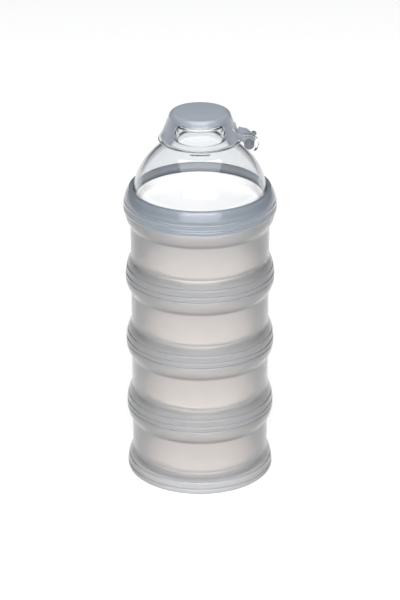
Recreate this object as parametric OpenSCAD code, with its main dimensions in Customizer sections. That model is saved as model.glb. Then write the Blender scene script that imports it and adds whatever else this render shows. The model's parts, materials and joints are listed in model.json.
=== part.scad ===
// Stacking formula dispenser: four snap-together cups, an inner lid, and a
// pouring dome with a collar and a hinged spout cap.
// Millimetres, +Z up. The origin is the centre of the bottom cup's rim plane.

/* [Cups] */
// Number of cups in the stack
cup_count = 4; // [4:1:4]
// Height from one cup's rim to the next
cup_pitch = 38; // [34:0.5:44]
// Outer radius of a cup's wall
wall_r = 37.1; // [36.6:0.1:37.3]
// Outer radius of the bulging rims
rim_r = 40; // [39.8:0.1:40.2]
// Thickness of a cup's wall
wall_t = 1.8; // [1.4:0.1:2]
// Thickness of the skirts, floors and the dome
shell_t = 1.5; // [1.2:0.1:1.6]
// Height of the floor's top above the rim plane
floor_z = 6; // [5.6:0.1:6.4]

/* [Dome] */
// Outer radius of the dome at its foot
dome_r = 35.66; // [35.4:0.02:35.7]
// Height of the dome's curve above its foot
dome_h = 34.17; // [30:0.1:38]
// Roundness of the dome: 2 is an ellipse, less is flatter
dome_power = 1.9; // [1.8:0.05:2.1]
// Largest outer radius of the collar
collar_r = 40.8; // [40.6:0.1:41]
// Outer radius of the spout
spout_r = 13.4; // [12.6:0.1:13.6]
// Height of the spout's rim above the ground
spout_top = 200.6; // [199:0.1:201.4]

/* [Cap] */
// Height of the cap's top above the ground
cap_top = 206; // [205.4:0.1:207]
// Outer radius of the cap's brim
brim_r = 20.8; // [20.4:0.1:21]
// Direction of the hinge round the stack, in degrees
hinge_turn = -9; // [-180:1:180]
// Distance from the stack's axis to the hinge axis
hinge_x = 27; // [26.6:0.1:27.6]
// Height of the hinge axis above the ground
hinge_z = 191.3; // [190.8:0.1:191.8]
// Radius of the hinge pin
pin_r = 1.2; // [0.9:0.05:1.3]

/* [Hidden] */
$fn = 96;

gap = 0.3;                                 // air between pieces that slide apart
parting = cup_count * cup_pitch;           // rim plane of the collar
edge_r = 0.3;                              // rounding of the cut edges
pocket_z = floor_z + 1.1;                  // roof of the pocket that takes the neck below
neck_rise = floor_z - 0.4;                 // how far a neck stands up into that pocket
neck_r = wall_r - wall_t - 0.4;            // inside of the neck
neck_t = 1.4;
boss_r = neck_r - 0.5;                     // outside of the floor's boss, inside the neck
bead_r = 0.8;                              // section radius of the snap beads
skirt_arc = 25;                            // arc of the skirt's outside
skirt_top = 11.6;                          // height at which the skirt leaves the wall
shoulder_arc = 12;                         // arc of the shoulder's outside
shoulder_z = cup_pitch - 0.8;              // level of that arc's centre
collar_arc = 17.1;                         // arc of the collar's outside
collar_z = 1.9;                            // level of its centre above the rim plane
collar_top = 11.8;                         // top of the collar above the rim plane
lid_panel_z = 1.9;                         // top of the inner lid's panel, same datum
lid_flange_t = 0.8;
dome_foot = neck_rise + 0.2 + lid_flange_t + gap;
dome_flange_t = 1.5;
dome_base = 7.67;                          // level where the dome's curve starts
spout_bore = spout_r - shell_t;
cap_t = 1.4;
catch_step = 24;                           // point of the dome's curve that carries the catch ridge
pin_clear = 0.05;
thumb_turn = 94;                           // width of the thumb opening, in degrees
thumb_drop = 3.6;                          // its top edge below the cap's top
knuckle_r = 2.3;
knuckle_w = 11;                            // width of the cap's knuckle
ear_t = 1.8;
ear_gap = 0.3;
guard_r = brim_r + 1.2;
guard_z = 190.3;                           // underside of the clear brim ring
guard_t = 1;
curl_r = 4.3;                              // inside of the cover's curl round the hinge

// Points of an arc about [cx, cz], from angle a to angle b in n steps
function arc(cx, cz, r, a, b, n = 10) =
    [for (i = [0 : n]) let (t = a + (b - a) * i / n) [cx + r * cos(t), cz + r * sin(t)]];

// Angle at which an arc of radius r about cx has the radius x or the rise z
function arc_at_x(cx, r, x) = acos((x - cx) / r);
function arc_at_z(r, z) = asin(z / r);

// Points of the dome's curve, from its foot up to the radius at which it stops
function dome_curve(r, h, stop_r, n = 28) =
    let (last = acos(pow(stop_r / r, dome_power / 2)))
    [for (i = [0 : n]) let (t = last * i / n)
        [r * pow(cos(t), 2 / dome_power), dome_base + h * pow(sin(t), 2 / dome_power)]];

function backwards(points) = [for (i = [len(points) - 1 : -1 : 0]) points[i]];

// A ring of round section
module bead(r, z, section_r) {
    rotate_extrude() translate([r, z]) circle(section_r, $fn = 24);
}

// Places a piece at the hinge: X away from the stack, Y along the pin
module at_hinge() {
    rotate([0, 0, hinge_turn]) translate([hinge_x, 0, hinge_z]) children();
}

// Extrudes an outline drawn in the hinge's X-Z plane along the pin
module across_hinge(width) {
    translate([0, width / 2, 0]) rotate([90, 0, 0]) linear_extrude(width) children();
}

// One cup: boss and floor, wall, outer skirt, flared shoulder, ledge and neck
module cup() {
    skirt_c = rim_r - skirt_arc;
    shoulder_c = rim_r - shoulder_arc;
    skirt_in = skirt_arc - shell_t;
    shoulder_in = shoulder_arc - shell_t;
    boss_in = boss_r - 1.4;
    fillet = 2.4;
    neck_out = neck_r + neck_t;
    neck_top = cup_pitch + neck_rise;
    ledge_z = cup_pitch - gap;
    wall_in = wall_r - wall_t;
    outline = concat(
        [[0, floor_z - shell_t]],
        arc(boss_r - 1.2, floor_z - shell_t + 1.2, 1.2, -90, 0, 5),
        [[boss_r, pocket_z]],
        arc(skirt_c, 0, skirt_in, arc_at_z(skirt_in, pocket_z), 0, 8),
        [[rim_r - edge_r, 0]],
        arc(skirt_c, 0, skirt_arc, arc_at_z(skirt_arc, edge_r),
            arc_at_x(skirt_c, skirt_arc, wall_r), 12),
        arc(shoulder_c, shoulder_z, shoulder_arc, -arc_at_x(shoulder_c, shoulder_arc, wall_r), 0, 12),
        [[rim_r - edge_r, ledge_z], [neck_out, ledge_z], [neck_out, neck_top - edge_r],
         [neck_out - edge_r, neck_top], [neck_r + edge_r, neck_top],
         [neck_r, neck_top - edge_r], [neck_r, ledge_z - shell_t]],
        arc(shoulder_c, shoulder_z, shoulder_in, arc_at_z(shoulder_in, ledge_z - shell_t - shoulder_z),
            -arc_at_x(shoulder_c, shoulder_in, wall_in), 12),
        [[wall_in, skirt_top]],
        [[boss_in, floor_z + fillet + 0.6]],
        arc(boss_in - fillet, floor_z + fillet, fillet, 0, -90, 6),
        [[0, floor_z]]);
    rotate_extrude() polygon(outline);
    bead(skirt_c + skirt_in - 0.3, 2.1, bead_r);
    bead(neck_out - 0.1, cup_pitch + 3.8, bead_r);
}

// Soft ring in the roof of a cup's pocket, which the neck below presses on
module gasket() {
    difference() {
        translate([0, 0, neck_rise + gap]) cylinder(r = neck_r + neck_t + 0.4, h = pocket_z - neck_rise - gap);
        translate([0, 0, neck_rise]) cylinder(r = boss_r + 0.1, h = pocket_z);
    }
}

module container(index) {
    color([0.72, 0.73, 0.75, 0.6]) translate([0, 0, (index - 1) * cup_pitch]) cup();
}

module gasket_of(index) {
    color([0.85, 0.86, 0.87, 0.8]) translate([0, 0, (index - 1) * cup_pitch]) gasket();
}

// Dished lid that closes the top cup under the dome
module inner_lid() {
    plug_in = boss_r - 1.2;
    flange_z = neck_rise + 0.2;
    panel_t = 1.2;
    color([0.96, 0.955, 0.945]) translate([0, 0, parting]) rotate_extrude() polygon(concat(
        [[0, lid_panel_z - panel_t]],
        arc(boss_r - 1, lid_panel_z - panel_t + 1, 1, -90, 0, 5),
        [[boss_r, flange_z], [neck_r + neck_t, flange_z],
         [neck_r + neck_t, flange_z + lid_flange_t], [plug_in, flange_z + lid_flange_t]],
        arc(plug_in - 1, lid_panel_z + 1, 1, 0, -90, 5),
        [[0, lid_panel_z]]));
}

// Clear dome with a flange that the collar holds down, a small catch ridge and a round spout
module dome() {
    spout_rise = spout_top - parting;
    catch_turn = 34;
    catch_at = dome_curve(dome_r, dome_h, spout_r)[catch_step] - [0.05, 0.05];
    color([0.95, 0.97, 0.98, 0.35]) translate([0, 0, parting]) {
        rotate_extrude() polygon(concat(
            [[dome_r - shell_t, dome_foot], [collar_r - 3.3, dome_foot],
             [collar_r - 3.3, dome_foot + dome_flange_t], [dome_r, dome_foot + dome_flange_t]],
            [for (p = dome_curve(dome_r, dome_h, spout_r)) if (p[1] > dome_foot + dome_flange_t) p],
            [[spout_r, spout_rise - edge_r], [spout_r - edge_r, spout_rise],
             [spout_bore + edge_r, spout_rise], [spout_bore, spout_rise - edge_r]],
            backwards(dome_curve(dome_r - shell_t, dome_h - shell_t, spout_bore))));
        bead(spout_r - 0.1, spout_rise - 1.3, 0.6);
        rotate([0, 0, -90 - catch_turn / 2]) rotate_extrude(angle = catch_turn)
            translate(catch_at) circle(0.5, $fn = 24);
    }
}

// Tinted collar that clamps the dome's flange and snaps over the top cup's neck
module collar() {
    centre = collar_r - collar_arc;
    inner = collar_arc - shell_t;
    shoulder = dome_foot + dome_flange_t;
    color([0.55, 0.6, 0.67, 0.75]) translate([0, 0, parting]) {
        rotate_extrude() polygon(concat(
            arc(centre, collar_z, inner, arc_at_z(inner, shoulder - collar_z),
                arc_at_z(inner, -collar_z), 12),
            arc(centre, collar_z, collar_arc, arc_at_z(collar_arc, edge_r - collar_z),
                arc_at_z(collar_arc, collar_top - collar_z), 16),
            [[dome_r - 0.2, collar_top + 0.15], [dome_r + 0.15, shoulder]]));
        bead(centre + inner - 0.4, 2.1, 1.3);
    }
}

// Ring round the spout's root, with an arm over the dome and two ears for the pin
module hinge_ring() {
    ring_z = 191;
    ear_y = knuckle_w / 2 + ear_gap;
    arm_w = 2 * (ear_y + ear_t);
    color([0.36, 0.4, 0.47, 0.9]) difference() {
        union() {
            translate([0, 0, ring_z]) cylinder(r = spout_r + 2.2, h = 1.6);
            at_hinge() {
                across_hinge(arm_w) polygon([[-12.4, 1.3], [-12.4, -0.3], [-7.4, -3.4],
                    [-3.2, -6.8], [-1.2, -8.4], [0.1, -7.4], [-2.4, -5.4], [-6.2, -2.4], [-8.6, -1.4]]);
                for (side = [-1, 1]) translate([0, side * (ear_y + ear_t / 2), 0]) across_hinge(ear_t) {
                    circle(knuckle_r + 0.4);
                    polygon([[-2.62, 0.6], [-3.4, -5.4], [-1.6, -7.6], [0.1, -7.4], [2.62, -0.6]]);
                }
            }
        }
        translate([0, 0, ring_z - 3]) cylinder(r = spout_r + 0.15, h = 6);
        at_hinge() rotate([90, 0, 0]) cylinder(r = pin_r + pin_clear, h = 30, center = true);
    }
}

module hinge_pin() {
    half = knuckle_w / 2 + ear_gap + ear_t;
    color([0.3, 0.33, 0.4]) at_hinge() rotate([90, 0, 0]) {
        cylinder(r = pin_r, h = 2 * half, center = true);
        for (side = [-1, 1]) translate([0, 0, side * (half + 0.4)]) cylinder(r = knuckle_r - 0.5, h = 0.8, center = true);
    }
}

// Cap with a flared brim, an opening for the thumb at its front, and a leaf and knuckle for the hinge
module cap() {
    brim_z = guard_z + guard_t;
    wall_z = 204 - 206 + cap_top;
    top_in = cap_top - cap_t;
    flare_z = 198;
    color([0.5, 0.55, 0.62, 0.8]) difference() {
        union() {
            rotate_extrude() polygon(concat(
                [[brim_r - 1.5, brim_z]],
                arc(brim_r - 2.2, brim_z + 0.6, 2.2, -15, 45, 6),
                [[18.4, flare_z]],
                arc(14.5, wall_z, 2, 12, 90, 8),
                [[0, cap_top], [0, top_in], [14.4, top_in], [15, wall_z],
                 [18.4 - cap_t, flare_z], [brim_r - 3, brim_z + 2.4]]));
            at_hinge() {
                across_hinge(knuckle_w) polygon([[-7, 2.5], [-7.8, 5], [-3, 4], [-0.6, 2.2], [-1.8, -1.4], [-4.2, 0.8]]);
                rotate([90, 0, 0]) cylinder(r = knuckle_r, h = knuckle_w, center = true);
            }
        }
        at_hinge() rotate([90, 0, 0]) cylinder(r = pin_r + pin_clear, h = knuckle_w + 2, center = true);
        rotate([0, 0, -90 - thumb_turn / 2]) rotate_extrude(angle = thumb_turn)
            translate([spout_r, brim_z - 1]) square([brim_r, cap_top - thumb_drop - brim_z + 1]);
    }
}

// Soft disc inside the cap, with a lip that presses on the spout's rim
module cap_seal() {
    seat = cap_top - cap_t;
    lip_z = spout_top + gap;
    lip_r = spout_r + 0.3;
    color([0.9, 0.9, 0.9, 0.8]) difference() {
        union() {
            translate([0, 0, seat - 1.2]) cylinder(r = spout_r + 0.4, h = 1.2);
            translate([0, 0, lip_z]) cylinder(r = lip_r, h = seat - 0.6 - lip_z);
        }
        translate([0, 0, lip_z - 1]) cylinder(r = lip_r - 1.7, h = seat - 0.2 - lip_z);
    }
}

// Thin clear ring under the cap's brim
module brim_ring() {
    color([0.95, 0.96, 0.98, 0.3]) translate([0, 0, guard_z]) difference() {
        cylinder(r = guard_r, h = guard_t);
        translate([0, 0, -1]) cylinder(r = brim_r - 1.3, h = guard_t + 2);
    }
}

// Clear tab that leaves the cap's side and curls over the hinge
module hinge_cover() {
    tab_t = 0.7;
    bend_x = -4.4;
    bend_z = 9.6;
    color([0.95, 0.96, 0.98, 0.3]) at_hinge() across_hinge(knuckle_w - 0.6) polygon(concat(
        [[-9.3, 8.2], [-8.9, 8.8]],
        arc(bend_x, bend_z, 4.6, -150, -95, 5),
        arc(0, 0, curl_r + tab_t, 90, -60, 20),
        arc(0, 0, curl_r, -60, 90, 20),
        arc(bend_x, bend_z, 4.6 + tab_t, -95, -150, 5)));
}

container(1);  // container_1
container(2);  // container_2
container(3);  // container_3
container(4);  // container_4
gasket_of(1);  // gasket_1
gasket_of(2);  // gasket_2
gasket_of(3);  // gasket_3
gasket_of(4);  // gasket_4
inner_lid();
dome();
collar();
hinge_ring();
hinge_pin();
cap();
cap_seal();
brim_ring();
hinge_cover();
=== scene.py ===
import json
import math

import bmesh
import bpy
from mathutils import Matrix, Vector, noise


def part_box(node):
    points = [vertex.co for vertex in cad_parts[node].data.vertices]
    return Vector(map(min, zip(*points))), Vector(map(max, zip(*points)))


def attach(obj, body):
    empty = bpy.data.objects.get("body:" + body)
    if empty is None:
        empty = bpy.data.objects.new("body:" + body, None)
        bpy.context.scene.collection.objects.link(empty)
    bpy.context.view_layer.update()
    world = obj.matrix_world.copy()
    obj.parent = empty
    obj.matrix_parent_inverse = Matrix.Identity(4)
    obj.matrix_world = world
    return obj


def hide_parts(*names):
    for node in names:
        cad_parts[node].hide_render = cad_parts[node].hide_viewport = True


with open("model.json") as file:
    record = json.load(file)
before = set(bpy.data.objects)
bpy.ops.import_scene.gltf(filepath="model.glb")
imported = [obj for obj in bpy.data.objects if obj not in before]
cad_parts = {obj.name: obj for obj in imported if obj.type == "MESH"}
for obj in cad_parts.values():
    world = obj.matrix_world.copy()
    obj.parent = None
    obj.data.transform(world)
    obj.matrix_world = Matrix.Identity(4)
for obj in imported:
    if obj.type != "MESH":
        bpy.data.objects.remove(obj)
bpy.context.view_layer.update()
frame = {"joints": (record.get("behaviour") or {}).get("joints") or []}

# ---------------------------------------------------------------- sizes, in millimetres unless a name says otherwise
MM = 0.001
CUPS = 4


def span(node):
    """A CAD node's lowest and highest corners, in millimetres."""
    low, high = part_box(node)
    return low / MM, high / MM


PITCH = span("container_2")[0].z - span("container_1")[0].z
PARTING = CUPS * PITCH                       # the collar's rim plane
RIM_R = span("container_1")[1].x
NECK_TOP = span("container_1")[1].z
WALL_R = 37.1
WALL_T = 1.8
SHELL_T = 1.5
FLOOR_Z = 6.0                                # top of a cup's floor above its rim plane
NECK_R = 34.9                                # inside of a neck
NECK_OUT = 36.3
BOSS_R = 34.4                                # outside of the boss under a floor
POCKET_Z = 7.1                               # roof of the pocket for the neck below
DOME_R = 35.66
DOME_H = 34.17
DOME_POWER = 1.9
DOME_BASE = PARTING + 7.67
SPOUT_R = 13.4
SPOUT_TOP = span("dome")[1].z
COLLAR_R = span("collar")[1].x
CAP_TOP = span("cap")[1].z
BRIM_R = 20.8
BRIM_Z = span("brim_ring")[1].z
PIN_R = 1.2
SKIRT_TURN = 25                              # how far round its arc a skirt goes before it bends into the wall
SHOULDER_TURN = 36
CATCH_R = 18.7                               # radius of the small ridge on the dome's front
SKIRT_LINES = ((2.5, 0.6), (6.3, 0.6))    # fine turned lines round a skirt: height above the rim, depth

HINGE = next(j for j in frame["joints"] if j["name"] == "cap_flip")
HINGE_AXIS = Vector(HINGE["axis"]).normalized()
HINGE_OUT = HINGE_AXIS.cross(Vector((0, 0, 1)))
AT_HINGE = Matrix.Translation(Vector(HINGE["pos_m"])) @ Matrix(
    (HINGE_OUT, HINGE_AXIS, (0, 0, 1))).transposed().to_4x4()


# ---------------------------------------------------------------- outlines
def arc(cx, cz, r, start, stop, steps=12):
    """Points of an arc about (cx, cz), with its angles in degrees."""
    turns = [math.radians(start + (stop - start) * i / steps) for i in range(steps + 1)]
    return [(cx + r * math.cos(t), cz + r * math.sin(t)) for t in turns]


def soften(corners, steps=5):
    """An outline in which each corner given as (x, z, radius) is rounded."""
    out = []
    for i, corner in enumerate(corners):
        here = Vector(corner[:2])
        radius = corner[2] if len(corner) > 2 else 0
        if not radius:
            out.append((here.x, here.y))
            continue
        before = Vector(corners[i - 1][:2]) - here
        after = Vector(corners[(i + 1) % len(corners)][:2]) - here
        reach = min(radius / math.tan(before.angle(after) / 2), 0.48 * before.length, 0.48 * after.length)
        a, b = here + before.normalized() * reach, here + after.normalized() * reach
        for k in range(steps + 1):
            t = k / steps
            p = a * (1 - t) ** 2 + here * (2 * t * (1 - t)) + b * t ** 2
            out.append((p.x, p.y))
    return out


def bend(a, control, b, steps=14):
    """Points of a smooth bend from a to b that leaves and arrives towards the control point."""
    a, control, b = Vector(a), Vector(control), Vector(b)
    ts = [i / steps for i in range(steps + 1)]
    return [tuple(a * (1 - t) ** 2 + control * (2 * t * (1 - t)) + b * t ** 2) for t in ts]


def flare(wall_r, centre, arc_r, level, angle, side):
    """A smooth bend between a straight wall and a rim's arc; side is 1 below the wall and -1 above it."""
    t = math.radians(angle)
    start = Vector((centre + arc_r * math.cos(t), level + side * arc_r * math.sin(t)))
    rise = (start.x - wall_r) / math.tan(t)
    control = Vector((wall_r, start.y + side * rise))
    reach = (control - start).length
    return bend(start, control, (wall_r, control.y + side * reach))


def raised(outline, z):
    return [(p[0], p[1] + z, *p[2:]) for p in outline]


def bump_on(line, level, height, reach):
    """Pushes a run of points sideways near a level, as a round bead (reach > 0) or a groove (reach < 0)."""
    out = []
    for r, z in line:
        t = (z - level) / height
        out.append((r + (reach * math.cos(math.pi * t / 2) ** 2 if abs(t) < 1 else 0), z))
    return out


def dome_line(r, h, stop_r, steps=48):
    """The dome's curve, from its foot up to the radius at which it stops."""
    last = math.acos((stop_r / r) ** (DOME_POWER / 2))
    turns = [last * i / steps for i in range(steps + 1)]
    return [(r * math.cos(t) ** (2 / DOME_POWER), DOME_BASE + h * math.sin(t) ** (2 / DOME_POWER)) for t in turns]


# ---------------------------------------------------------------- meshes
def new_piece(name, mesh):
    piece = bpy.data.objects.new(name, mesh)
    bpy.context.scene.collection.objects.link(piece)
    return piece


def lathe(name, outline, around=160):
    """A solid of revolution from a closed outline in millimetres; points on the axis become one vertex."""
    bm = bmesh.new()
    rings = []
    for r, z in outline:
        if r < 1e-6:
            rings.append([bm.verts.new((0, 0, z * MM))])
            continue
        turns = [2 * math.pi * i / around for i in range(around)]
        rings.append([bm.verts.new((r * MM * math.cos(t), r * MM * math.sin(t), z * MM)) for t in turns])
    for a, b in zip(rings, rings[1:] + rings[:1]):
        if len(a) == 1 and len(b) == 1:
            continue
        for i in range(around):
            j = (i + 1) % around
            if len(a) == 1:
                bm.faces.new((a[0], b[i], b[j]))
            elif len(b) == 1:
                bm.faces.new((a[i], b[0], a[j]))
            else:
                bm.faces.new((a[i], b[i], b[j], a[j]))
    return finish_mesh(name, bm)


def finish_mesh(name, bm, sharp=35):
    bmesh.ops.recalc_face_normals(bm, faces=bm.faces[:])
    for face in bm.faces:
        face.smooth = True
    mesh = bpy.data.meshes.new(name)
    bm.to_mesh(mesh)
    bm.free()
    mesh.set_sharp_from_angle(angle=math.radians(sharp))
    return new_piece(name, mesh)


def slab(name, outline, y_low, y_high, edge=0.25):
    """A prism across the hinge from an outline in its X-Z plane, with rounded edges, in the row frame."""
    bm = bmesh.new()
    near = [bm.verts.new((x * MM, y_low * MM, z * MM)) for x, z in outline]
    far = [bm.verts.new((x * MM, y_high * MM, z * MM)) for x, z in outline]
    ends = [bm.faces.new(near), bm.faces.new(far[::-1])]
    rim = [e for f in ends for e in f.edges]
    for i in range(len(near)):
        j = (i + 1) % len(near)
        bm.faces.new((near[i], far[i], far[j], near[j]))
    bmesh.ops.recalc_face_normals(bm, faces=bm.faces[:])
    bmesh.ops.bevel(bm, geom=rim, offset=edge * MM, segments=3, profile=0.5, affect="EDGES")
    bmesh.ops.transform(bm, matrix=AT_HINGE, verts=bm.verts[:])
    return finish_mesh(name, bm)


def spindle(name, outline, around=48):
    """A solid of revolution about the hinge's axis: outline points are (radius, place along the axis)."""
    piece = lathe(name, outline, around)
    turn = Matrix.Rotation(math.radians(-90), 4, "X")
    piece.data.transform(AT_HINGE @ turn)
    return piece


def combine(body, tool, operation, sharp=35):
    """Adds or cuts another solid, and keeps only the result."""
    modifier = body.modifiers.new("solid", "BOOLEAN")
    modifier.object = tool
    modifier.operation = operation
    modifier.solver = "EXACT"
    bpy.context.view_layer.update()
    result = bpy.data.meshes.new_from_object(body.evaluated_get(bpy.context.evaluated_depsgraph_get()))
    body.modifiers.clear()
    body.data = result
    result.set_sharp_from_angle(angle=math.radians(sharp))
    bpy.data.objects.remove(tool)
    return body


# ---------------------------------------------------------------- materials
class Nodes:
    """A material's node tree, with short ways to add nodes and links."""

    def __init__(self, name):
        self.material = bpy.data.materials.new(name)
        self.material.use_nodes = True
        self.tree = self.material.node_tree
        self.tree.nodes.clear()
        self.out = self.add("ShaderNodeOutputMaterial")
        self.place = self.add("ShaderNodeTexCoord").outputs["Object"]

    def add(self, kind, **inputs):
        node = self.tree.nodes.new(kind)
        for key, value in inputs.items():
            node.inputs[key.replace("_", " ")].default_value = value
        return node

    def link(self, source, target):
        self.tree.links.new(source, target)

    def noise(self, scale, detail=3, stretch=(1, 1, 1)):
        """Noise over the piece; scale is features per metre."""
        mapping = self.add("ShaderNodeMapping", Scale=stretch)
        self.link(self.place, mapping.inputs["Vector"])
        texture = self.add("ShaderNodeTexNoise", Scale=scale, Detail=detail)
        self.link(mapping.outputs["Vector"], texture.inputs["Vector"])
        return texture.outputs["Fac"]

    def ranged(self, value, low, high):
        """Maps a 0.3 to 0.7 noise value to low to high."""
        mapped = self.add("ShaderNodeMapRange")
        mapped.inputs["From Min"].default_value = 0.3
        mapped.inputs["From Max"].default_value = 0.7
        mapped.inputs["To Min"].default_value = low
        mapped.inputs["To Max"].default_value = high
        self.link(value, mapped.inputs["Value"])
        return mapped.outputs["Result"]

    def bump(self, heights):
        """Bumps from (value, height in metres) pairs, one on top of the other."""
        normal = None
        for value, distance in heights:
            node = self.add("ShaderNodeBump", Strength=1.0, Distance=distance)
            self.link(value, node.inputs["Height"])
            if normal:
                self.link(normal, node.inputs["Normal"])
            normal = node.outputs["Normal"]
        return normal


def see_through(name, colour, roughness, ior=1.49, clear=1.0, grain=0.00002, lets_by=0.95, absorb=None, density=0.0,
                edge=1.0, slants=(0.15, 0.65), coat=0.0):
    """Moulded see-through plastic that lets lamps through; edge scales its colour over a range of slants to the eye:
    below 1 it darkens the slanting faces for the longer path through the plastic, and above 1 it lightens them,
    which is a painted sheen.
    """
    n = Nodes(name)
    shader = n.add("ShaderNodeBsdfPrincipled", IOR=ior, Transmission_Weight=clear, Coat_Weight=coat,
                   Coat_Roughness=0.08)
    slant = n.add("ShaderNodeLayerWeight", Blend=0.5)
    # Colour ramp over the slant: with edge below 1 it darkens grazing faces for the longer path through the plastic;
    # with edge above 1 it paints a sheen on them.
    slant_colour = n.add("ShaderNodeValToRGB")
    slant_colour.color_ramp.elements[0].color = (*colour, 1)
    slant_colour.color_ramp.elements[0].position = slants[0]
    slant_colour.color_ramp.elements[1].color = (*[c * edge for c in colour], 1)
    slant_colour.color_ramp.elements[1].position = slants[1]
    n.link(slant.outputs["Facing"], slant_colour.inputs["Fac"])
    n.link(slant_colour.outputs["Color"], shader.inputs["Base Color"])
    skin = n.noise(260, 1)
    rubbed = n.noise(60, 5, (1, 1, 0.25))
    n.link(n.ranged(rubbed, roughness, roughness * 1.15), shader.inputs["Roughness"])
    n.link(n.bump([(skin, grain)]), shader.inputs["Normal"])
    path = n.add("ShaderNodeLightPath")
    lamps = n.add("ShaderNodeMath")
    lamps.operation = "MAXIMUM"
    n.link(path.outputs["Is Shadow Ray"], lamps.inputs[0])
    n.link(path.outputs["Is Diffuse Ray"], lamps.inputs[1])
    open_way = n.add("ShaderNodeBsdfTransparent", Color=(lets_by, lets_by, lets_by, 1))
    mix = n.add("ShaderNodeMixShader")
    n.link(lamps.outputs[0], mix.inputs[0])
    n.link(shader.outputs[0], mix.inputs[1])
    n.link(open_way.outputs[0], mix.inputs[2])
    n.link(mix.outputs[0], n.out.inputs["Surface"])
    if density:
        volume = n.add("ShaderNodeVolumeAbsorption", Color=(*absorb, 1), Density=density)
        n.link(volume.outputs[0], n.out.inputs["Volume"])
    return n.material


def opaque(name, colour, spread, roughness, grain, grain_scale=900, sheen=0.0):
    """Opaque plastic or powder with a little colour drift and a fine grain."""
    n = Nodes(name)
    shader = n.add("ShaderNodeBsdfPrincipled", Sheen_Weight=sheen)
    ramp = n.add("ShaderNodeValToRGB")
    ramp.color_ramp.elements[0].color = (*[c * (1 - spread) for c in colour], 1)
    ramp.color_ramp.elements[1].color = (*[min(1, c * (1 + spread)) for c in colour], 1)
    ramp.color_ramp.elements[0].position = 0.35
    ramp.color_ramp.elements[1].position = 0.65
    n.link(n.noise(90, 5), ramp.inputs["Fac"])
    n.link(ramp.outputs["Color"], shader.inputs["Base Color"])
    n.link(n.ranged(n.noise(160, 4), roughness * 0.85, min(1, roughness * 1.15)), shader.inputs["Roughness"])
    n.link(n.bump([(n.noise(grain_scale, 6), grain)]), shader.inputs["Normal"])
    n.link(shader.outputs[0], n.out.inputs["Surface"])
    return n.material


CUP_PLASTIC = see_through("frosted_grey_plastic", (0.375, 0.379, 0.39), 0.29, clear=0.78, grain=0.000004, edge=0.5,
                          coat=0.5)
SILICONE = see_through("translucent_silicone", (0.4, 0.4, 0.405), 0.35, ior=1.41, clear=0.5, grain=0.000004)
SEAL_RUBBER = see_through("grey_silicone", (0.75, 0.77, 0.8), 0.35, ior=1.41, clear=0.5, grain=0.000004)
CLEAR = see_through("clear_plastic", (0.99, 0.995, 1.0), 0.02, grain=0.000002, absorb=(0.5, 0.53, 0.58),
                    density=130.0, edge=0.25, slants=(0.7, 1.0))
TINTED = see_through("blue_grey_plastic", (0.28, 0.31, 0.35), 0.3, clear=0.76, grain=0.000004,
                     absorb=(0.5, 0.58, 0.66), density=60.0, edge=0.6, slants=(0.62, 0.9), coat=1.0)
# The cap's colour is raised 1.7 times on faces seen slanting, its top and outer sides: a painted sheen on a
# blue-grey plastic.
CAP_TINTED = see_through("blue_grey_plastic_painted_sheen", (0.28, 0.3, 0.333), 0.3, clear=0.76, grain=0.000004,
                         absorb=(0.5, 0.56, 0.63), density=60.0, edge=1.7, slants=(0.25, 0.55), coat=0.6)
HINGE_PLASTIC = see_through("smoky_plastic", (0.08, 0.09, 0.11), 0.3, clear=0.4, grain=0.000004, coat=0.6)
SOFT_CLEAR = see_through("soft_clear_plastic", (0.96, 0.965, 0.97), 0.03, ior=1.06, grain=0.000002)
LID_PLASTIC = opaque("off_white_plastic", (0.76, 0.75, 0.74), 0.02, 0.5, 0.00001)
POWDER = opaque("cream_powder", (0.97, 0.82, 0.69), 0.02, 0.95, 0.00012, 1500, sheen=0.3)


def dress(piece, material, body, *stands_for, slot=None):
    """Gives a piece its material, its body and the CAD nodes that it replaces; slot, its slot in the record, is not
    used.
    """
    piece.data.materials.clear()
    piece.data.materials.append(material)
    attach(piece, body)
    if stands_for:
        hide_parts(*stands_for)
    return piece


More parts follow.
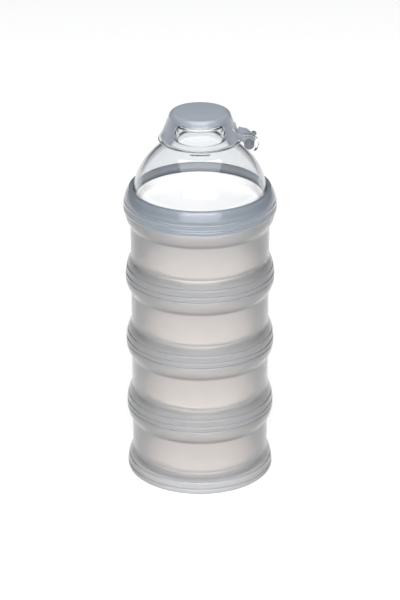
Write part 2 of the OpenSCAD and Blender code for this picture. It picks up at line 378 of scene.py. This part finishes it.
# ---------------------------------------------------------------- cups, gaskets and powder
def cup_outline():
    """A cup's section: floor and boss, pocket, flared skirt, wall, flared shoulder, ledge, neck and inside."""
    flare_c, shoulder_c, shoulder_z = RIM_R - 25, RIM_R - 12, PITCH - 0.8
    wall_in = WALL_R - WALL_T
    skirt_in = bump_on(arc(flare_c, 0, 23.5, 17.6, 1.2, 40), 2.1, 0.9, -0.95)
    skirt_out = arc(flare_c, 0, 25, 1.0, SKIRT_TURN, 110)
    for level, depth in SKIRT_LINES:
        skirt_out = bump_on(skirt_out, level, 0.6, -depth)
    shoulder_out = arc(shoulder_c, shoulder_z, 12, -SHOULDER_TURN, -1, 40)
    shoulder_in = arc(shoulder_c, shoulder_z, 12 - SHELL_T, -8, -SHOULDER_TURN, 30)
    neck = bump_on([(NECK_OUT, PITCH + 2.6 + 0.12 * i) for i in range(21)], PITCH + 3.8, 0.9, 0.7)
    ledge = PITCH - 0.3
    return soften(
        [(0, FLOOR_Z - SHELL_T), (BOSS_R, FLOOR_Z - SHELL_T, 1.2), (BOSS_R, POCKET_Z, 0.4)]
        + [(*skirt_in[0], 0.5)] + skirt_in[1:]
        + [(RIM_R - SHELL_T, 0, 0.3), (RIM_R, 0, 0.35)] + skirt_out
        + flare(WALL_R, flare_c, 25, 0, SKIRT_TURN, 1)[1:]
        + flare(WALL_R, shoulder_c, 12, shoulder_z, SHOULDER_TURN, -1)[::-1]
        + shoulder_out[1:] + [(RIM_R, ledge, 0.35), (NECK_OUT, ledge, 0.3)] + neck
        + [(NECK_OUT, NECK_TOP, 0.4), (NECK_R, NECK_TOP, 0.4), (NECK_R, ledge - SHELL_T, 0.6)]
        + [(*shoulder_in[0], 0.6)] + shoulder_in[1:]
        + flare(wall_in, shoulder_c, 12 - SHELL_T, shoulder_z, SHOULDER_TURN, -1)[1:]
        + bend((wall_in, 15), (wall_in, 11.4), (BOSS_R - 1.4, 9.6), 10)
        + [(BOSS_R - 1.4, FLOOR_Z, 2.4), (0, FLOOR_Z)])


def gasket_outline():
    low, high = span("gasket_1")
    return soften([(BOSS_R + 0.12, low.z, 0.3), (high.x - 0.02, low.z, 0.4),
                   (high.x - 0.02, high.z, 0.15), (BOSS_R + 0.12, high.z, 0.15)])


def powder(name, base_z, fill, seed):
    """A levelled layer of powder on a cup's floor, with a slightly uneven top."""
    top, side, foot = FLOOR_Z + fill, POWDER_R, FLOOR_Z + 0.06
    outline = soften([(0, foot), (side, foot, 1.6), (side, top - 0.4, 0.8)])
    outline += [(side * (1 - i / 40), top - 0.4 * (1 - i / 40) ** 8) for i in range(1, 41)]
    piece = lathe(name, raised(outline, base_z), 120)
    for v in piece.data.vertices:
        if v.co.z / MM > base_z + top - 0.45:
            v.co.z += 0.2 * MM * noise.noise(v.co * 90 + Vector((seed * 7.3, 0, 0)))
            v.co.z += 0.06 * MM * noise.noise(v.co * 420 + Vector((0, seed * 3.1, 0)))
    return piece


POWDER_R = 31.0
FILLS = (2.6, 4.6, 3.6, 2.6)                 # depth of the powder in each cup
for k in range(1, CUPS + 1):
    body, z = f"cup_{k}", (k - 1) * PITCH
    dress(lathe(f"cup_shell_{k}", raised(cup_outline(), z), 192), CUP_PLASTIC, body,
          f"container_{k}", slot="cup_plastic")
    dress(lathe(f"seal_ring_{k}", raised(gasket_outline(), z)), SILICONE, body,
          f"gasket_{k}", slot="gasket_silicone")
    dress(powder(f"formula_powder_{k}", z, FILLS[k - 1], k), POWDER, body)


# ---------------------------------------------------------------- inner lid, dome and collar
def inner_lid_outline():
    low, high = span("inner_lid")
    panel = PARTING + 1.9
    wall = [(BOSS_R - 1.2, high.z - 0.5 - 0.05 * i) for i in range(70)]
    for level in (1.2, 2.4, 3.5):
        wall = bump_on(wall, high.z - level, 0.25, 0.6)
    return soften([(0, low.z), (BOSS_R, low.z, 1.0), (BOSS_R, high.z - 0.8, 0.2),
                   (NECK_OUT, high.z - 0.8, 0.35), (NECK_OUT, high.z, 0.35),
                   (BOSS_R - 1.2, high.z, 0.4)] + wall + [(BOSS_R - 1.2, panel, 1.2), (0, panel)])


def dome_outline():
    foot = span("dome")[0].z
    flange = 37.5
    outer = [p for i, p in enumerate(dome_line(DOME_R, DOME_H, SPOUT_R + 0.35, 640))
             if p[1] > foot + 2.2 and (i % 10 == 0 or abs(p[0] - CATCH_R) < 0.8)]
    inner = dome_line(DOME_R - SHELL_T, DOME_H - SHELL_T, SPOUT_R - SHELL_T - 0.1, 64)
    spout = [(SPOUT_R, SPOUT_TOP - 2.6 + 0.1 * i) for i in range(24)]
    spout = bump_on(spout, SPOUT_TOP - 1.3, 0.7, 0.5)
    return soften(
        [(DOME_R - SHELL_T, foot, 0.3), (flange, foot, 0.3), (flange, foot + 1.5, 0.3), (DOME_R, foot + 1.5, 0.3)]
        + outer + [(SPOUT_R, outer[-1][1] + 0.25, 0.5)] + spout
        + [(SPOUT_R - 0.1, SPOUT_TOP, 0.4), (SPOUT_R - SHELL_T, SPOUT_TOP, 0.4)] + inner[::-1])


def raise_catch(piece):
    """Lifts a short ridge on the front of the dome, under the cap's brim."""
    for v in piece.data.vertices:
        r = math.hypot(v.co.x, v.co.y) / MM
        off = (r - CATCH_R) / 0.6
        turn = math.degrees(math.atan2(v.co.x, -v.co.y)) / 17
        if abs(off) < 1 and abs(turn) < 1 and v.co.z / MM > DOME_BASE + 27.3:
            lift = 0.5 * MM * math.cos(math.pi * off / 2) ** 2 * min(1, 6 * (1 - abs(turn)))
            out = Vector((v.co.x, v.co.y, 0)).normalized() * 0.5 + Vector((0, 0, 0.87))
            v.co += out * lift
    return piece


def collar_outline():
    low, high = span("collar")
    centre, level, outer_r = COLLAR_R - 17.1, PARTING + 1.9, 17.1
    inner_r = outer_r - SHELL_T
    shoulder = PARTING + 8.4
    top = high.z - 0.15
    inner = arc(centre, level, inner_r, math.degrees(math.asin((shoulder - level) / inner_r)), -6.8, 40)
    inner = bump_on(inner, PARTING + 2.1, 1.3, -1.5)
    outer = arc(centre, level, outer_r, -5.2, math.degrees(math.asin((top - level) / outer_r)), 90)
    outer = bump_on(outer, PARTING + 5.6, 0.45, -0.4)
    for rise in (3.1, 1.7):
        outer = bump_on(outer, PARTING + rise, 0.4, -0.3)
    return soften([(*inner[0], 0.4)] + inner[1:] + [(COLLAR_R - 1.6, low.z, 0.3), (COLLAR_R - 0.12, low.z, 0.35)]
                  + outer + [(DOME_R - 0.14, high.z, 0.15), (DOME_R + 0.15, shoulder, 0.3)])


dress(lathe("inner_lid_dish", inner_lid_outline(), 192), LID_PLASTIC, "inner_lid", "inner_lid", slot="lid_plastic")
dress(raise_catch(lathe("pouring_dome", dome_outline(), 224)), CLEAR, "dome_unit", "dome", slot="clear_plastic")
dress(lathe("dome_collar", collar_outline(), 224), TINTED, "dome_unit", "collar", slot="tinted_plastic")


# ---------------------------------------------------------------- cap, seal and hinge
LEAF = [(-7.0, 2.5), (-7.8, 5.0), (-3.0, 4.0), (-0.6, 2.2), (-1.8, -1.4), (-4.2, 0.8)]
ARM = [(-12.4, 1.3), (-12.4, -0.3), (-7.4, -3.4), (-3.2, -6.8), (-1.2, -8.4), (0.1, -7.4),
       (-2.4, -5.4), (-6.2, -2.4), (-8.6, -1.4)]
EAR = [(-2.62, 0.6), (-3.4, -5.4), (-1.6, -7.6), (0.1, -7.4), (2.62, -0.6)]
KNUCKLE_R = 2.3
KNUCKLE_Y = 5.5                              # half the knuckle's width
EAR_Y = (5.8, 7.6)                           # an ear's two faces


def rod(name, r, half):
    """A plain cylinder on the hinge's axis with slightly rounded ends."""
    return spindle(name, soften([(0, -half), (r, -half, 0.25), (r, half, 0.25), (0, half)], 3))


def cap_outline():
    inside = BRIM_Z + 2.4
    crown = [(13.6 * (1 - i / 16), CAP_TOP - 0.05 - 0.2 * (1 - i / 16) ** 2) for i in range(17)]
    return soften(
        [(BRIM_R - 1.5, BRIM_Z + 0.02, 0.2)] + arc(BRIM_R - 2.2, BRIM_Z + 0.6, 2.2, -12, 45, 8)
        + [(18.4, 198, 6.0)] + arc(13.1, CAP_TOP - 3.5, 3.4, 12, 78, 12) + crown
        + [(0, CAP_TOP - 1.4), (14.8, CAP_TOP - 1.4, 2.4), (17.0, 198, 4.0), (17.8, inside, 1.0)])


def thumb_wedge(steps=24):
    """The room of the thumb opening at the front of the cap, as a solid with rounded upper corners."""
    half, top, low, round_r = math.radians(50), CAP_TOP - 3.6, BRIM_Z - 1, 4.0
    bm = bmesh.new()
    columns = []
    for i in range(steps + 1):
        turn = half * (2 * i / steps - 1)
        edge = (half - abs(turn)) * 17
        drop = 0 if edge > round_r else round_r - math.sqrt(round_r ** 2 - (round_r - edge) ** 2)
        x, y = math.sin(turn), -math.cos(turn)
        corners = [(SPOUT_R + 0.6, low), (BRIM_R + 4, low), (BRIM_R + 4, top - drop), (SPOUT_R + 0.6, top - drop)]
        columns.append([bm.verts.new((r * x * MM, r * y * MM, z * MM)) for r, z in corners])
    for a, b in zip(columns, columns[1:]):
        for i in range(4):
            bm.faces.new((a[i], a[(i + 1) % 4], b[(i + 1) % 4], b[i]))
    bm.faces.new(columns[0])
    bm.faces.new(columns[-1][::-1])
    return finish_mesh("thumb_room", bm)


def cap():
    piece = lathe("spout_cap", cap_outline(), 192)
    combine(piece, slab("leaf", soften([(x, z, 0.5) for x, z in LEAF], 3), -KNUCKLE_Y, KNUCKLE_Y), "UNION")
    combine(piece, rod("knuckle", KNUCKLE_R, KNUCKLE_Y), "UNION")
    combine(piece, rod("bore", PIN_R + 0.05, 12), "DIFFERENCE")
    return combine(piece, thumb_wedge(), "DIFFERENCE")


def seal():
    low, high = span("cap_seal")
    edge = high.x - 0.05
    return lathe("spout_seal", soften([
        (0, high.z - 1.2), (edge - 1.75, high.z - 1.2, 0.4), (edge - 1.75, low.z, 0.4), (edge - 0.1, low.z, 0.5),
        (edge - 0.1, high.z - 1.2, 0.2), (edge, high.z - 1.1, 0.1), (edge, high.z - 0.05, 0.4),
        (0, high.z - 0.05)]))


def hinge_arm():
    low, high = SPOUT_R + 0.15, SPOUT_R + 2.2
    piece = lathe("hinge_arm", soften([(low, 191, 0.25), (high, 191, 0.4), (high, 192.6, 0.4), (low, 192.6, 0.25)]))
    combine(piece, slab("arm", soften([(x, z, 0.3) for x, z in ARM], 3), -EAR_Y[1], EAR_Y[1]), "UNION")
    ear = soften([(x, z, 0.4) for x, z in EAR], 3)
    for side in (-1, 1):
        faces = sorted((side * EAR_Y[0], side * EAR_Y[1]))
        combine(piece, slab("ear", ear, *faces, 0.3), "UNION")
        disc = soften([(0, faces[0]), (KNUCKLE_R + 0.4, faces[0], 0.4), (KNUCKLE_R + 0.4, faces[1], 0.4), (0, faces[1])])
        combine(piece, spindle("ear_disc", disc), "UNION")
    combine(piece, rod("bore", PIN_R + 0.05, 12), "DIFFERENCE")
    room = low - 0.03
    spout_room = lathe("spout_room", [(0, 186), (room, 186), (room, 196), (0, 196)])
    return combine(piece, spout_room, "DIFFERENCE")


def pin():
    half, head = EAR_Y[1], EAR_Y[1] + 0.8
    return spindle("pin", soften([
        (0, -head), (KNUCKLE_R - 0.5, -head, 0.5), (KNUCKLE_R - 0.5, -half - 0.03, 0.1), (PIN_R, -half - 0.03),
        (PIN_R, half + 0.03), (KNUCKLE_R - 0.5, half + 0.03, 0.1), (KNUCKLE_R - 0.5, head, 0.5), (0, head)]))


def brim_edge():
    low, high = span("brim_ring")
    inside = BRIM_R - 1.3
    return lathe("clear_brim", soften([(inside, low.z, 0.3), (high.x, low.z, 0.45), (high.x, high.z - 0.02, 0.45),
                                       (inside, high.z - 0.02, 0.3)]), 192)


def cover():
    curl, tab = 4.3, 0.7
    outline = ([(-9.3, 8.2), (-8.9, 8.8)] + arc(-4.4, 9.6, 4.6, -150, -95, 8) + arc(0, 0, curl + tab, 90, -60, 24)
               + arc(0, 0, curl, -60, 90, 24) + arc(-4.4, 9.6, 4.6 + tab, -95, -150, 8))
    return slab("hinge_tab", outline, -KNUCKLE_Y + 0.3, KNUCKLE_Y - 0.3, 0.15)


dress(cap(), CAP_TINTED, "cap_unit", "cap", slot="tinted_plastic")
dress(seal(), SEAL_RUBBER, "cap_unit", "cap_seal", slot="gasket_silicone")
dress(brim_edge(), CLEAR, "cap_unit", "brim_ring", slot="clear_plastic")
dress(cover(), SOFT_CLEAR, "cap_unit", "hinge_cover", slot="clear_plastic")
dress(hinge_arm(), HINGE_PLASTIC, "dome_unit", "hinge_ring", slot="hinge_plastic")
dress(pin(), HINGE_PLASTIC, "dome_unit", "hinge_pin", slot="hinge_plastic")


# ---------------------------------------------------------------- camera, lights and floor
WORLD = 0.12                                  # brightness of the room, and strengths of the lamps
FLOOR_HALF = 4.0
FRONT = 5.0
TOP = 0.2
WINDOW = 3.5


def wide_lamp(name, azimuth, elevation, spread, strength, mirrored=True):
    """A very large, far softbox: azimuth 0 is the front, and spread is how wide it looks, all in degrees."""
    lamp = bpy.data.lights.new(name, "SUN")
    lamp.angle = math.radians(spread)
    lamp.energy = strength
    lamp_object = bpy.data.objects.new(name, lamp)
    a, e = math.radians(azimuth), math.radians(elevation)
    lamp_object.location = (math.cos(e) * math.sin(a), -math.cos(e) * math.cos(a), math.sin(e))
    lamp_object.rotation_euler = (-lamp_object.location).to_track_quat("-Z", "Y").to_euler()
    lamp_object.visible_glossy = mirrored
    lamp_object.visible_transmission = mirrored
    bpy.context.scene.collection.objects.link(lamp_object)


def panel(name, place, width, depth, slope, glow):
    """A rectangular softbox over the object that shows as a soft window in glossy faces; slope 90 faces down."""
    lamp = bpy.data.lights.new(name, "AREA")
    lamp.shape = "RECTANGLE"
    lamp.size = width
    lamp.size_y = depth
    lamp.energy = glow * math.pi * width * depth
    lamp_object = bpy.data.objects.new(name, lamp)
    lamp_object.location = place
    lamp_object.rotation_euler.x = math.radians(90 - slope)
    lamp_object.visible_transmission = False
    lamp_object.visible_camera = False
    bpy.context.scene.collection.objects.link(lamp_object)


def studio():
    world = bpy.data.worlds.new("studio")
    world.use_nodes = True
    backdrop = world.node_tree.nodes["Background"]
    backdrop.inputs["Color"].default_value = (0.96, 0.98, 1.0, 1)
    backdrop.inputs["Strength"].default_value = WORLD
    bpy.context.scene.world = world
    bpy.context.scene.view_settings.view_transform = "Standard"
    wide_lamp("front_softbox", 0, 30, 40, FRONT, mirrored=False)
    wide_lamp("top_softbox", 0, 80, 60, TOP)
    panel("window_softbox", (0, -0.7, 1.4), 1.5, 1.6, 90, WINDOW)
    panel("front_window", (0, -1.9, 1.3), 2.4, 1.0, 35, 0.75 * WINDOW)
    bm = bmesh.new()
    bmesh.ops.create_grid(bm, x_segments=8, y_segments=8, size=FLOOR_HALF)
    floor = finish_mesh("studio_floor", bm)
    n = Nodes("pale_floor")
    shader = n.add("ShaderNodeBsdfPrincipled", Base_Color=(0.72, 0.72, 0.72, 1), Roughness=0.9)
    shader.inputs["Specular IOR Level"].default_value = 0.1
    n.link(shader.outputs[0], n.out.inputs["Surface"])
    floor.data.materials.append(n.material)


def camera():
    """The camera looks at the middle of the stack from the front, a little above."""
    distance, elevation, aim_z = 1.2, math.radians(24.5), 0.0976
    data = bpy.data.cameras.new("camera")
    data.lens = 133.14
    data.sensor_width = 36
    piece = bpy.data.objects.new("camera", data)
    piece.location = (0, -distance * math.cos(elevation), aim_z + distance * math.sin(elevation))
    piece.rotation_euler = (math.pi / 2 - elevation, 0, 0)
    bpy.context.scene.collection.objects.link(piece)
    bpy.context.scene.camera = piece


studio()
camera()
